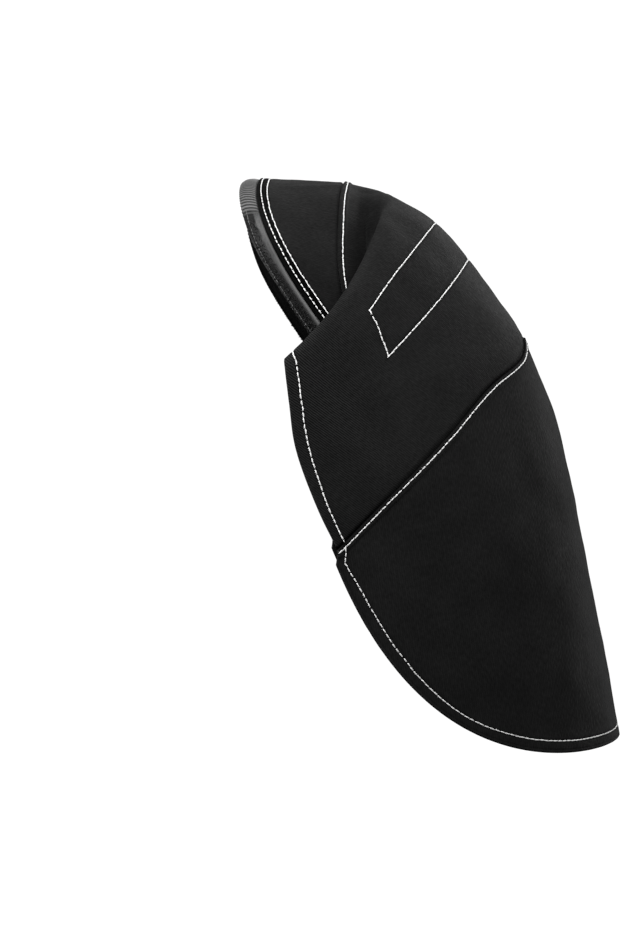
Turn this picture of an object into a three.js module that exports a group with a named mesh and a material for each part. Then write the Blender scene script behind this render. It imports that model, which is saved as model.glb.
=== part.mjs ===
// Welding head cover: a soft canvas hood that hangs from the rear rim of a welding helmet and covers the
// crown, the back of the head and the neck. Three sewn canvas panels and a hook tape along the front rim.
// Millimetres, +Z up. The wearer faces -Y and the wearer's left is +X.
// The origin is the top of the rim on the centre line, where the hook tape grips the helmet.

import * as THREE from "three";

// Cloth and tape
const CLOTH = 1.4; // one layer of heavy flame-resistant canvas
const SEAM_RISE = 0.9; // seam allowance pressed under the topstitched side of a seam
const SEAM_WIDTH = 5; // how wide that raised strip is
const HEM_RISE = 1.2; // the edge turned under to the inside
const HEM_WIDTH = 7; // hem of the flaps and the cape
const RIM_HEM_WIDTH = 11; // wider hem at the rim, sewn with two rows
const STEP = 0.6; // length of the slope where a wall changes thickness
const SHORT_LINE = 22; // lines of cloth shorter than this have their hems and seams narrowed in proportion
const SEWN_GAP = 0.4; // clearance between two solids that are sewn together
const TAPE = 1.8; // hook tape

// Facets
const COLUMN_DEG = 6.5; // turn of each facet round the head
const EDGE_DEG = 90; // a rail ends here, at the front edge
const HEM_DEG = 3; // the same hem width, as a turn along a rail

// Rails: the lines that the panels are lofted through, from the front to the back. Each is half a line, from
// the centre line to the edge on the wearer's left, and is mirrored. Seen from the side it is a quadratic
// curve from centre by bend to edge, each [y, z]. In width it opens to half_width as a quarter of an ellipse,
// which is rounder where full is over 2.
// The valley and fold rails lie side by side at the centre line. Towards the edge they cross, so that the
// cloth doubles back under the flap. The swell rail keeps the back full above the cape seam.
const RAILS = {
  rim: { centre: [6.2, 1.5], bend: [-5.2, -35.4], edge: [65.8, -122.4], half_width: 104, full: 2 },
  crown_seam: { centre: [57, -0.6], bend: [38.3, -67], edge: [82, -133], half_width: 103, full: 2 },
  valley_in: { centre: [65.7, -2.8], bend: [51, -70], edge: [98, -143], half_width: 103, full: 2 },
  valley: { centre: [69.6, -3.8], bend: [57, -75], edge: [102, -146.5], half_width: 105, full: 2 },
  valley_out: { centre: [73.5, -4.8], bend: [57, -71], edge: [98, -146], half_width: 108.5, full: 2 },
  fold_in: { centre: [78.3, -6.4], bend: [70.5, -69], edge: [24, -116.7], half_width: 113, full: 2 },
  fold: { centre: [82.2, -8.1], bend: [67, -69.5], edge: [21.3, -113.7], half_width: 116.5, full: 2 },
  fold_out: { centre: [86.2, -10.1], bend: [73, -73], edge: [21.7, -118.5], half_width: 119, full: 2 },
  band_top: { centre: [112, -25.2], bend: [84, -66], edge: [24.1, -138], half_width: 120.5, full: 1.95 },
  band_bottom: { centre: [131, -47.1], bend: [107, -88.4], edge: [27.5, -162], half_width: 121, full: 2 },
  swell: { centre: [156.7, -84.7], bend: [121, -118], edge: [39.8, -196], half_width: 122, full: 2.35 },
  cape_seam: { centre: [165.5, -102.3], bend: [122.5, -144], edge: [50.8, -218.5], half_width: 122, full: 2.5 },
  cape_upper: { centre: [182.8, -142.7], bend: [119.5, -185], edge: [50.6, -221.5], half_width: 122, full: 2.5 },
  cape_middle: { centre: [196.4, -202.5], bend: [121, -234], edge: [50.3, -224.7], half_width: 121.9, full: 2.6 },
  hem: { centre: [221.5, -332.5], bend: [101, -354], edge: [49.9, -228], half_width: 121.7, full: 2.8 },
};

// Section of the hook tape: forward of the cloth's edge, and sunk below the cloth's middle.
const UNDER_HEM = CLOTH / 2 + HEM_RISE + SEWN_GAP + TAPE / 2;
const TAPE_SECTION = [
  { forward: -8, sink: UNDER_HEM + 0.3 },
  { forward: SEWN_GAP, sink: UNDER_HEM },
  { forward: 1.9, sink: 1.2 },
  { forward: 5, sink: 1.2 },
  { forward: 7.6, sink: 2 },
  { forward: 9.2, sink: 3.6 },
];
// Towards its ends the tape turns in about the front edge of the cloth, as the rim that it grips does.
const TAPE_PIVOT = { forward: 1.9, sink: 1.2 };
const TAPE_TWIST = { degrees: 47, starts: 42, ends: 72 };

// Wall of the cloth on each side of its middle.
const PLAIN = { out: CLOTH / 2, in: CLOTH / 2 };
const RAISED = { out: CLOTH / 2 + SEAM_RISE, in: CLOTH / 2 };
const HEMMED = { out: CLOTH / 2, in: CLOTH / 2 + HEM_RISE };

const CANVAS = { color: 0x1c1c1d, roughness: 0.92, metalness: 0 };
const TAPE_NYLON = { color: 0x121213, roughness: 0.7, metalness: 0 };

function railPoint(rail, degrees) {
  const angle = THREE.MathUtils.degToRad(degrees);
  const [centre, bend, edge] = [rail.centre, rail.bend, rail.edge].map((p) => new THREE.Vector2(...p));
  const side = new THREE.QuadraticBezierCurve(centre, bend, edge).getPoint(1 - Math.cos(angle));
  const width = rail.half_width * (1 - Math.cos(angle) ** rail.full) ** (1 / rail.full);
  return new THREE.Vector3(Math.sign(degrees) * width, side.x, side.y);
}

// The line along the cloth, from front to back, at one turn of the rails.
function lengthwise(rails, degrees) {
  return new THREE.CatmullRomCurve3(
    rails.map((rail) => railPoint(rail, degrees)),
    false,
    "centripetal",
  );
}

// Rows of a panel. Each says where it crosses a lengthwise line, and the wall that it has there. Widths are
// measured along the cloth, and shrink where the line is shorter than SHORT_LINE.
const span = (line) => Math.max(line.getLength(), SHORT_LINE);
const fromStart = (distance, wall) => ({ at: (line) => line.getPointAt(distance / span(line)), wall });
const fromEnd = (distance, wall) => ({ at: (line) => line.getPointAt(1 - distance / span(line)), wall });
const shares = (steps, first, last, wall) =>
  steps.map((step) => ({
    at: (line) => line.getPointAt((first * (1 - step) - last * step) / span(line) + step),
    wall,
  }));
function between(rails, first, last, steps, wall, hem = false) {
  const from = rails.indexOf(first);
  const to = rails.indexOf(last);
  return steps.map((step) => {
    const t = (from + step * (to - from)) / (rails.length - 1);
    return { at: (line) => line.getPoint(t), wall, hem };
  });
}
const evenly = (count) => Array.from({ length: count }, (_, i) => (i + 1) / (count + 1));

// Turns of the columns, from the right edge to the left, with two at each side that bound the hem.
function columnTurns() {
  const plain = EDGE_DEG - HEM_DEG;
  const count = Math.round((2 * plain) / COLUMN_DEG);
  const inner = Array.from({ length: count + 1 }, (_, i) => -plain + (2 * plain * i) / count);
  const slope = THREE.MathUtils.radToDeg(STEP / RAILS.cape_seam.half_width);
  return [-EDGE_DEG, -plain - slope, ...inner, plain + slope, EDGE_DEG];
}

// Points of a panel's middle surface, row by row, with the wall at each.
function panelGrid(rails, rows) {
  const turns = columnTurns();
  const lines = turns.map((turn) => lengthwise(rails, turn));
  return rows.map((row) =>
    lines.map((line, i) => ({
      point: row.at(line),
      wall: row.hem && Math.abs(turns[i]) > EDGE_DEG - HEM_DEG ? HEMMED : row.wall,
    })),
  );
}

// A closed solid: the grid's points moved out and in along the surface, and joined round the border.
function wallGeometry(grid) {
  const rows = grid.length;
  const columns = grid[0].length;
  const clamp = THREE.MathUtils.clamp;
  const outer = [];
  const inner = [];
  for (let r = 0; r < rows; r++) {
    for (let c = 0; c < columns; c++) {
      const across = new THREE.Vector3().subVectors(
        grid[r][clamp(c + 1, 0, columns - 1)].point,
        grid[r][clamp(c - 1, 0, columns - 1)].point,
      );
      const along = new THREE.Vector3().subVectors(
        grid[clamp(r + 1, 0, rows - 1)][c].point,
        grid[clamp(r - 1, 0, rows - 1)][c].point,
      );
      const outward = across.cross(along).normalize();
      const { point, wall } = grid[r][c];
      outer.push(point.clone().addScaledVector(outward, wall.out));
      inner.push(point.clone().addScaledVector(outward, -wall.in));
    }
  }
  const out = (r, c) => r * columns + c;
  const back = (r, c) => rows * columns + r * columns + c;
  const triangles = [];
  const points = [...outer, ...inner];
  const quad = (a, b, c, d) => {
    const straight = points[a].distanceTo(points[c]) <= points[b].distanceTo(points[d]);
    triangles.push(...(straight ? [a, b, c, a, c, d] : [a, b, d, b, c, d]));
  };
  for (let r = 0; r < rows - 1; r++) {
    for (let c = 0; c < columns - 1; c++) {
      quad(out(r, c), out(r, c + 1), out(r + 1, c + 1), out(r + 1, c));
      quad(back(r, c), back(r + 1, c), back(r + 1, c + 1), back(r, c + 1));
    }
    quad(out(r, 0), out(r + 1, 0), back(r + 1, 0), back(r, 0));
    quad(out(r + 1, columns - 1), out(r, columns - 1), back(r, columns - 1), back(r + 1, columns - 1));
  }
  for (let c = 0; c < columns - 1; c++) {
    quad(out(0, c + 1), out(0, c), back(0, c), back(0, c + 1));
    quad(out(rows - 1, c), out(rows - 1, c + 1), back(rows - 1, c + 1), back(rows - 1, c));
  }
  const geometry = new THREE.BufferGeometry().setFromPoints(points);
  geometry.setIndex(triangles);
  geometry.computeVertexNormals();
  return geometry;
}

// The crescent between the rim and the crown seam, hemmed along the rim.
const CROWN_RAILS = [RAILS.rim, RAILS.crown_seam];
function crownPanel() {
  const rows = [
    fromStart(0, HEMMED),
    fromStart(RIM_HEM_WIDTH - STEP, HEMMED),
    fromStart(RIM_HEM_WIDTH, PLAIN),
    ...shares(evenly(2), RIM_HEM_WIDTH, SEWN_GAP, PLAIN),
    fromEnd(SEWN_GAP, PLAIN),
  ];
  return wallGeometry(panelGrid(CROWN_RAILS, rows));
}

// The panel over the back of the head. Between the crown seam and the flap it doubles back, in the valley
// and then in the fold.
function backPanel() {
  const { crown_seam, valley_in, valley, valley_out, fold_in, fold, fold_out } = RAILS;
  const { band_top, band_bottom, swell, cape_seam } = RAILS;
  const rails = [
    crown_seam, valley_in, valley, valley_out, fold_in, fold, fold_out, band_top, band_bottom, swell, cape_seam,
  ];
  const rows = [
    fromStart(0, RAISED),
    fromStart(SEAM_WIDTH, RAISED),
    fromStart(SEAM_WIDTH + STEP, PLAIN),
    ...between(rails, crown_seam, valley_in, [0.72, 1], PLAIN),
    ...between(rails, valley_in, valley, [0.5, 1], PLAIN),
    ...between(rails, valley, valley_out, [0.5, 1], PLAIN),
    ...between(rails, valley_out, fold_in, evenly(3), PLAIN),
    ...between(rails, fold_in, fold, [0.1, 1], PLAIN),
    ...between(rails, fold, fold_out, [0.75], PLAIN),
    ...between(rails, fold_out, band_top, [...evenly(2), 1], PLAIN, true),
    ...between(rails, band_top, band_bottom, [...evenly(1), 1], PLAIN, true),
    ...between(rails, band_bottom, swell, [...evenly(2), 1], PLAIN, true),
    ...between(rails, swell, cape_seam, evenly(1), PLAIN, true),
    { ...fromEnd(SEWN_GAP, PLAIN), hem: true },
  ];
  return wallGeometry(panelGrid(rails, rows));
}

// The half-moon that hangs over the neck, hemmed along its curved lower edge.
function neckCape() {
  const rails = [RAILS.cape_seam, RAILS.cape_upper, RAILS.cape_middle, RAILS.hem];
  const rows = [
    fromStart(0, RAISED),
    fromStart(SEAM_WIDTH, RAISED),
    fromStart(SEAM_WIDTH + STEP, PLAIN),
    ...shares(evenly(6), SEAM_WIDTH + STEP, HEM_WIDTH + STEP, PLAIN),
    fromEnd(HEM_WIDTH + STEP, PLAIN),
    fromEnd(HEM_WIDTH, HEMMED),
    fromEnd(0, HEMMED),
  ];
  return wallGeometry(panelGrid(rails, rows));
}

// A point of the tape's section at one turn of the rim, with the twist that it has there.
function tapePoint({ forward, sink }, turn) {
  if (forward <= TAPE_PIVOT.forward) return { forward, sink };
  const share = THREE.MathUtils.smoothstep(Math.abs(turn), TAPE_TWIST.starts, TAPE_TWIST.ends);
  const pivot = new THREE.Vector2(TAPE_PIVOT.forward, TAPE_PIVOT.sink);
  const twist = THREE.MathUtils.degToRad(share * TAPE_TWIST.degrees);
  const turned = new THREE.Vector2(forward, sink).rotateAround(pivot, twist);
  return { forward: turned.x, sink: turned.y };
}

// The hook tape, swept along the rim with its rear edge under the hem.
function hookTape() {
  const half = { out: TAPE / 2, in: TAPE / 2 };
  const turns = columnTurns();
  const rim = turns.map((turn) => lengthwise(CROWN_RAILS, turn).getPoint(0));
  const grid = TAPE_SECTION.toReversed().map((corner) =>
    turns.map((turn, i) => {
      const { forward, sink } = tapePoint(corner, turn);
      const along = new THREE.Vector3().subVectors(
        rim[Math.min(i + 1, rim.length - 1)],
        rim[Math.max(i - 1, 0)],
      );
      const outward = along.clone().cross(lengthwise(CROWN_RAILS, turn).getTangent(0)).normalize();
      const ahead = along.cross(outward).normalize();
      const point = rim[i].clone().addScaledVector(ahead, forward).addScaledVector(outward, -sink);
      return { point, wall: half };
    }),
  );
  return wallGeometry(grid);
}

function piece(name, geometry, finish) {
  const mesh = new THREE.Mesh(geometry, new THREE.MeshStandardMaterial(finish));
  mesh.name = name;
  return mesh;
}

const cover = new THREE.Group();
cover.name = "welding_head_cover";
cover.add(
  piece("hook_tape", hookTape(), TAPE_NYLON),
  piece("crown_panel", crownPanel(), CANVAS),
  piece("back_panel", backPanel(), CANVAS),
  piece("neck_cape", neckCape(), CANVAS),
);

export default cover;
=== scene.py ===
import math
from collections import namedtuple

import bpy
import numpy as np
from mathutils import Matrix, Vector, noise
from mathutils.bvhtree import BVHTree
from mathutils.kdtree import KDTree


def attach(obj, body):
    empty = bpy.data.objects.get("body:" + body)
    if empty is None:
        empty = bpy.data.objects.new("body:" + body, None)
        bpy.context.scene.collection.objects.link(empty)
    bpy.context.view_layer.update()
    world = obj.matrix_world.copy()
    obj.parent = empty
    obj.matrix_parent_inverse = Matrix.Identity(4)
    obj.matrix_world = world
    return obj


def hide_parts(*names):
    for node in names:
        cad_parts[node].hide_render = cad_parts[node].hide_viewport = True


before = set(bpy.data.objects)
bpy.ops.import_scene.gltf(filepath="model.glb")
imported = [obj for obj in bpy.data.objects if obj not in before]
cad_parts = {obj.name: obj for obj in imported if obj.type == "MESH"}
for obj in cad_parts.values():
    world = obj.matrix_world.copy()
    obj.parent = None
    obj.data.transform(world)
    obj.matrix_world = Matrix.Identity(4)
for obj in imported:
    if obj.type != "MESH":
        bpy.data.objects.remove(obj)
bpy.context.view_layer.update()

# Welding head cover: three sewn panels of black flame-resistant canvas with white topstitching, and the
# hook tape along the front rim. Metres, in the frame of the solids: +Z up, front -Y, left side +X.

MM = 0.001


def mm(*sizes):
    """Sizes given in millimetres, in metres."""
    return MM * np.array(sizes)


# Cloth, thread and tape, as cut and sewn
CLOTH = 1.4 * MM
EDGE_RADIUS = 1.1 * MM
TAPE = 1.8 * MM
THREAD = 0.78 * MM
FLAP_THREAD = 0.88 * MM
TAPE_THREAD = 0.45 * MM
STITCH = 3.1 * MM
HEM_STITCH = 1.05 * STITCH
TAPE_STITCH = 0.7 * STITCH

# A seam bends one panel under the next, and its allowance raises a strip of it.
TUCK = 2 * MM
TUCK_BEND = mm(-0.3, 1.5)
SEAM_RISE = 0.9 * MM
ALLOWANCE_START = mm(0, 0.7)
ALLOWANCE_END = mm(3.8, 5.6)
# A hem: how far the folded cloth stands out inside, and where it ends.
HEM_RISE = 1.2 * MM
RIM_HEM_END = mm(10.4, 11)
FLAP_HEM_END = mm(6.8, 7.6)
CAPE_HEM_END = mm(7, 7.6)
# The dent along a row of stitches, shallower in the layers at the rim.
DENT_WIDTH = 0.8 * MM
DENT = 0.4 * MM
RIM_DENT = 0.35 * MM
# The groove of the cape's rolled edge, which also gets painted shade: (place, width), depth, and where it
# starts below the seam.
ROLL = mm(1.9, 0.4)
ROLL_DEPTH = 0.2 * MM
ROLL_START = mm(8, 14)

# Rails that the panels are lofted through: centre, bend and edge as (y, z), half width, fullness.
RAILS = {
    "rim": ((6.2, 1.5), (-5.2, -35.4), (65.8, -122.4), 104, 2),
    "crown_seam": ((56.2, -0.6), (38.3, -67), (78, -134), 103, 2),
    "valley_in": ((65.7, -2.8), (51, -70), (98, -143), 103, 2),
    "valley": ((69.6, -3.8), (57, -75), (102, -146.5), 105, 2),
    "valley_out": ((73.5, -4.8), (57, -71), (98, -146), 108.5, 2),
    "fold_in": ((78.3, -6.4), (72.5, -71), (24, -116.7), 113, 2),
    "fold": ((82.2, -8.1), (69.5, -72), (21.3, -113.7), 116.5, 2),
    "fold_out": ((86.2, -10.1), (75, -75), (21.7, -118.5), 119, 2),
    "band_top": ((112, -25.2), (84, -66), (24.1, -138), 120.5, 1.95),
    "band_bottom": ((131, -47.1), (107, -88.4), (27.5, -162), 121, 2),
    "swell": ((156.7, -84.7), (121, -118), (39.8, -196), 122, 2.35),
    "cape_seam": ((165.5, -102.3), (122.5, -144), (50.8, -218.5), 122, 2.5),
    "cape_upper": ((182.8, -142.7), (119.5, -185), (50.6, -221.5), 122, 2.5),
    "cape_middle": ((196.4, -202.5), (121, -234), (50.3, -224.7), 121.9, 2.6),
    "hem": ((221.5, -332.5), (101.8, -353.4), (49.9, -227), 121.7, 2.8),
}
# Where a rail leaves its curve: the turn where it does so most, the width in turns, and by how much, as
# (y, z). The crown seam is pulled straight at the sides. The cape seam rises to a peak at the centre of the
# back, the cloth above it follows, and it bows up at the sides. The upper side of the stitched rectangle
# droops at its ends.
RISES = {
    "crown_seam": [(42, 12, (1.1, 0))],
    "band_top": [(66, 7, (0, -2.6))],
    "swell": [(0, 14, (-1.8, 2.6))],
    "cape_seam": [(0, 13, (-4, 9)), (17.5, 7.5, (-2.6, 6)), (48, 13, (-1.9, 2.0))],
}
CROWN_RAILS = ["rim", "crown_seam"]
BACK_RAILS = [
    "crown_seam", "valley_in", "valley", "valley_out", "fold_in", "fold", "fold_out", "band_top",
    "band_bottom", "swell", "cape_seam",
]
CAPE_RAILS = ["cape_seam", "cape_upper", "cape_middle", "hem"]
FOLD = BACK_RAILS.index("fold")
BAND_TOP = BACK_RAILS.index("band_top")

# Rows of stitches: their distance from the edge or seam that they follow.
CROWN_ROW = 2.7 * MM
CAPE_ROW = 2.4 * MM
# The two rows at the rim: at the top, and lower down, with the turns between which they spread.
RIM_ROWS = mm((2.4, 2.9), (6.0, 6.5))
RIM_SPREAD = (30, 60)
# The rows along the hems of the flaps and the cape: (height, distance).
FLAP_ROW = mm((-225, 4.8), (-205, 5.6), (-165, 7.4), (-125, 7.0))
HEM_ROW = mm((-326, 6.8), (-317, 6.0), (-301, 6.6), (-278, 7.3), (-245, 7.3), (-225, 5.0))
# Below this height the stitches of the cape's hem run together.
HEM_CLOSED = -286 * MM
# The stitched rectangle across the back: the turns where its long sides end.
BAND_ENDS = {"band_top": 65.5, "band_bottom": 68}

# Soft ridges and hollows on the left, mirrored on the right: stretches as (rails, from, to) with turns and
# stations, then width and height.
CROWN_FOLDS = [([(CROWN_RAILS, (24.8, 0.46), (16, 1.0))], 3.5 * MM, 0.7 * MM)]
PLEAT_FOLDS = [([(BACK_RAILS, (16, 2.0), (51, 0.9))], 7 * MM, -1.5 * MM)]
SEAM_HOLLOW = (
    [(BACK_RAILS, (43.2, 9.34), (41.2, 10)), (CAPE_RAILS, (41.2, 0), (41.8, 1.4))], 26 * MM, -2.5 * MM,
)
SEAM_BELLY = [(CAPE_RAILS, (24, 0), (72, 0))], 26 * MM, 3.5 * MM
FLAP_FOLDS = [
    ([(BACK_RAILS, (38, 6.0), (64, 6.9)), (BACK_RAILS, (64, 6.9), (70, 7.2))], 10 * MM, 1.5 * MM),
    ([(BACK_RAILS, (70, 7.2), (81, 8.6))], 8.5 * MM, 0.9 * MM),
    SEAM_BELLY, SEAM_HOLLOW,
]
CAPE_FOLDS = [SEAM_BELLY, SEAM_HOLLOW]

# Unevenness of hung canvas: the sizes of its broad waves, narrow waves and puckers, and how far apart the
# seeds of the three lie in the noise.
BROAD_WAVE = 34 * MM
NARROW_WAVE = 15 * MM
PUCKER = 5.5 * MM
SEED_STEP = np.array([7.3, 3.1, 5.7])
# Of each panel: the height of the waves, how far from an edge they are full, the height of the puckers, and
# how much higher these are along the hem, with the place and width of that.
CROWN_WRINKLES = mm(0.5, 12, 0.1, 0.14, 5, 7)
BACK_WRINKLES = mm(0.9, 14, 0.08, 0.14, 4, 6)
CAPE_WRINKLES = mm(0.9, 16, 0.06, 0.16, 3, 6)

# Tones of the cloth. Edges are rubbed over this width, and seams get painted shade on a strip at this
# (place, width).
RUBBED = 0.9 * MM
CROWN_SEAM_SHADE = mm(0.6, 1)
CAPE_SEAM_SHADE = mm(0.6, 1.1)
CAPE_EDGE_SHADE = mm(0, 0.6)
# The crown gets painted shade lower down near the flap, and the hem at the rim gets painted shade to just
# past its second row.
CROWN_DARK_TURNS = (52, 66)
HEM_SHADE_FADE = 1.5 * MM
# The fold is rubbed at this (station, width), growing between these turns.
FOLD_WEAR = (FOLD + 0.4, 0.5)
FOLD_WEAR_TURNS = (35, 60)
# Turns between which the pleat's shade opens, leaves its upper part, enters its lower part, and deepens.
PLEAT_OPENS = (4, 26)
PLEAT_UPPER = (12, 34)
PLEAT_LOWER = (34, 46)
PLEAT_DEEPENS = (44, 60)
# Wales show fully at the flaps' upper front, fading over these distances from the edge and heights, and
# faintly on the crown and the cape.
WALE_FADE = mm(15, 70)
WALE_HEIGHTS = mm(-190, -135)
FAINT_WALE = 0.2


# Lines and surfaces

# Points by which a line is measured between two rails, and the length below which a line counts as short
FINE_POINTS = 60
SHORT_LINE = 22 * MM


def rail_line(name, turns):
    """Points of a rail at these turns in degrees, from the right edge at -90 to the left edge at 90."""
    centre, bend, edge, half_width, full = RAILS[name]
    cosine = np.clip(np.cos(np.radians(turns)), 0, 1)
    t = 1 - cosine
    side = np.outer((1 - t) ** 2, centre) + np.outer(2 * t * (1 - t), bend) + np.outer(t**2, edge)
    for turn, spread, rise in RISES.get(name, []):
        side += np.outer(bump_at(np.abs(turns), turn, spread), rise)
    width = half_width * (1 - cosine**full) ** (1 / full)
    return MM * np.column_stack([np.sign(turns) * width, side])


def past_ends(rows):
    """The rows with one more past each end."""
    return np.concatenate([2 * rows[:1] - rows[1:2], rows, 2 * rows[-1:] - rows[-2:-1]])


def unit(vectors):
    """The vectors at length 1."""
    return vectors / np.linalg.norm(vectors, axis=-1, keepdims=True)


def lines_through(rails, turns):
    """The lines along the cloth, one for each turn: their points on the rails, and one past each end."""
    return past_ends(np.stack([rail_line(name, turns) for name in rails]))


def points_at(lines, stations):
    """Where each line crosses its stations. Station 1.5 is half way from the second rail to the third."""
    stations = np.asarray(stations, float)
    if stations.ndim == 1:
        stations = np.repeat(stations[:, None], lines.shape[1], axis=1)
    first = np.clip(np.floor(stations).astype(int), 0, len(lines) - 4)
    part = (stations - first)[..., None]
    column = np.arange(lines.shape[1])[None]
    a, b, c, d = (lines[first + i, column] for i in range(4))
    pairs = ((a, b), (b, c), (c, d))
    ab, bc, cd = (np.sqrt(np.linalg.norm(q - p, axis=-1, keepdims=True)) for p, q in pairs)
    start = ((b - a) / ab - (c - a) / (ab + bc) + (c - b) / bc) * bc
    end = ((c - b) / bc - (d - b) / (bc + cd) + (d - c) / cd) * bc
    return (
        b + part * start + part**2 * (3 * (c - b) - 2 * start - end) + part**3 * (2 * (b - c) + start + end)
    )


def running_length(points):
    """Distance from the first point, along a line or along each column of points."""
    steps = np.linalg.norm(np.diff(points, axis=0), axis=-1)
    return np.concatenate([np.zeros_like(steps[:1]), np.cumsum(steps, axis=0)])


def stations_by_distance(lines, distances, from_end=False):
    """Stations at these distances along each line. The distances shrink where a line is short."""
    fine = np.linspace(0, len(lines) - 3, FINE_POINTS * (len(lines) - 3) + 1)
    length = running_length(points_at(lines, fine))
    total = length[-1]
    shrink = np.minimum(1, total / SHORT_LINE)
    wanted = np.asarray(distances)[:, None] * shrink
    wanted = total - wanted if from_end else wanted
    stations = np.stack([np.interp(wanted[:, i], length[:, i], fine) for i in range(len(total))], axis=1)
    last_step = (length[-1] - length[-2]) / (fine[-1] - fine[-2])
    return stations + np.maximum(wanted - total, 0) / last_step


def outward(mid):
    """Unit normals of a surface given as rows and columns of points. They point out of the cover."""
    across = np.gradient(mid, axis=1)
    along = np.gradient(mid, axis=0)
    return unit(np.cross(across, along))


def dense(line, step=0.15 * MM):
    """The line with points this close together."""
    length = running_length(line)
    wanted = np.linspace(0, length[-1], max(2, int(length[-1] / step)))
    return np.stack([np.interp(wanted, length, line[:, i]) for i in range(3)], axis=1)


def distance_to(line, points):
    """Shortest distance from each point of a surface to a line."""
    close = dense(line)
    tree = KDTree(len(close))
    for i, point in enumerate(close):
        tree.insert(point, i)
    tree.balance()
    flat = points.reshape(-1, 3)
    return np.array([tree.find(point)[2] for point in flat]).reshape(points.shape[:-1])


def ripple(points, size, seed):
    """Smooth random waves of about this size, from -1 to 1, fixed by the place in space."""
    shift = Vector(seed * SEED_STEP)
    flat = points.reshape(-1, 3) / size
    return np.array([noise.noise(Vector(point) + shift) for point in flat]).reshape(points.shape[:-1])


def ease(value, low, high):
    """0 below low, 1 above high, and a smooth rise between."""
    t = np.clip((value - low) / (high - low), 0, 1)
    return t * t * (3 - 2 * t)


def bump_at(distance, centre, width):
    """A smooth bump of height 1 across a line that lies at this distance."""
    return np.exp(-(((distance - centre) / width) ** 2))


# Objects

def grid_faces(ids):
    """The four-sided faces between rows and columns of points."""
    return np.stack([ids[:-1, :-1], ids[:-1, 1:], ids[1:, 1:], ids[1:, :-1]], -1).reshape(-1, 4)


def add_object(name, points, faces, uv=None, tones=None):
    """A mesh object at the origin, with its place in its points. uv and tones hold one value a point."""
    mesh = bpy.data.meshes.new(name)
    mesh.from_pydata(points.tolist(), [], faces.tolist() if isinstance(faces, np.ndarray) else faces)
    mesh.polygons.foreach_set("use_smooth", np.ones(len(mesh.polygons), bool))
    corner = np.zeros(len(mesh.loops), int)
    mesh.loops.foreach_get("vertex_index", corner)
    if uv is not None:
        mesh.uv_layers.new(name="cloth").data.foreach_set("uv", uv[corner].astype(np.float32).ravel())
    for tone, values in (tones or {}).items():
        mesh.attributes.new(tone, "FLOAT", "POINT").data.foreach_set("value", values.astype(np.float32))
    mesh.validate()
    mesh.update()
    piece = bpy.data.objects.new(name, mesh)
    bpy.context.scene.collection.objects.link(piece)
    return piece


def copies_object(name, copies, shape_faces):
    """Copies of a shape as one piece, each given by its points."""
    size = len(copies[0])
    faces = [[i + copy * size for i in face] for copy in range(len(copies)) for face in shape_faces]
    return add_object(name, np.concatenate(copies), faces)


# The most rows and columns of points by which a sheet is laid flat
PATTERN_GRID = (48, 72)


def flat_pattern(mid):
    """The sheet laid flat, as it is cut: each point's place on the flat cloth in metres, with the middle of
    the sheet along the second axis."""
    rows, columns = (
        np.unique(np.linspace(0, count - 1, most).round().astype(int))
        for count, most in zip(mid.shape, PATTERN_GRID)
    )
    coarse = mid[np.ix_(rows, columns)]
    ids = np.arange(len(rows) * len(columns)).reshape(len(rows), -1)
    cut = add_object("pattern", coarse.reshape(-1, 3), grid_faces(ids), np.zeros((ids.size, 2)))
    bpy.ops.object.select_all(action="DESELECT")
    bpy.context.view_layer.objects.active = cut
    cut.select_set(True)
    bpy.ops.object.mode_set(mode="EDIT")
    bpy.ops.mesh.select_all(action="SELECT")
    bpy.ops.uv.unwrap(method="CONFORMAL", margin=0)
    bpy.ops.object.mode_set(mode="OBJECT")
    corner = np.zeros(len(cut.data.loops), int)
    cut.data.loops.foreach_get("vertex_index", corner)
    laid = np.zeros(len(corner) * 2, np.float32)
    cut.data.uv_layers["cloth"].data.foreach_get("uv", laid)
    flat = np.zeros((ids.size, 2))
    flat[corner] = laid.reshape(-1, 2)
    flat = flat.reshape(*ids.shape, 2)
    bpy.data.objects.remove(cut)
    middle = len(columns) // 2
    down = flat[-1, middle] - flat[0, middle]
    right = np.array([down[1], -down[0]])
    right *= np.sign(right.dot(flat[0, -1] - flat[0, 0]))
    true_length, drawn_length = (running_length(grid[:, middle])[-1] for grid in (coarse, flat))
    axes = np.stack([right, down], -1) / np.linalg.norm(down) * true_length / drawn_length
    flat = (flat - flat[0, middle]) @ axes
    every_row, every_column = np.arange(mid.shape[0]), np.arange(mid.shape[1])
    wide = np.stack([[np.interp(every_column, columns, row[:, i]) for row in flat] for i in (0, 1)])
    full = np.stack([[np.interp(every_row, rows, wide[i, :, c]) for c in every_column] for i in (0, 1)])
    return full.transpose(2, 1, 0)


Sheet = namedtuple("Sheet", "piece mid outer inner stations")


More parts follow.
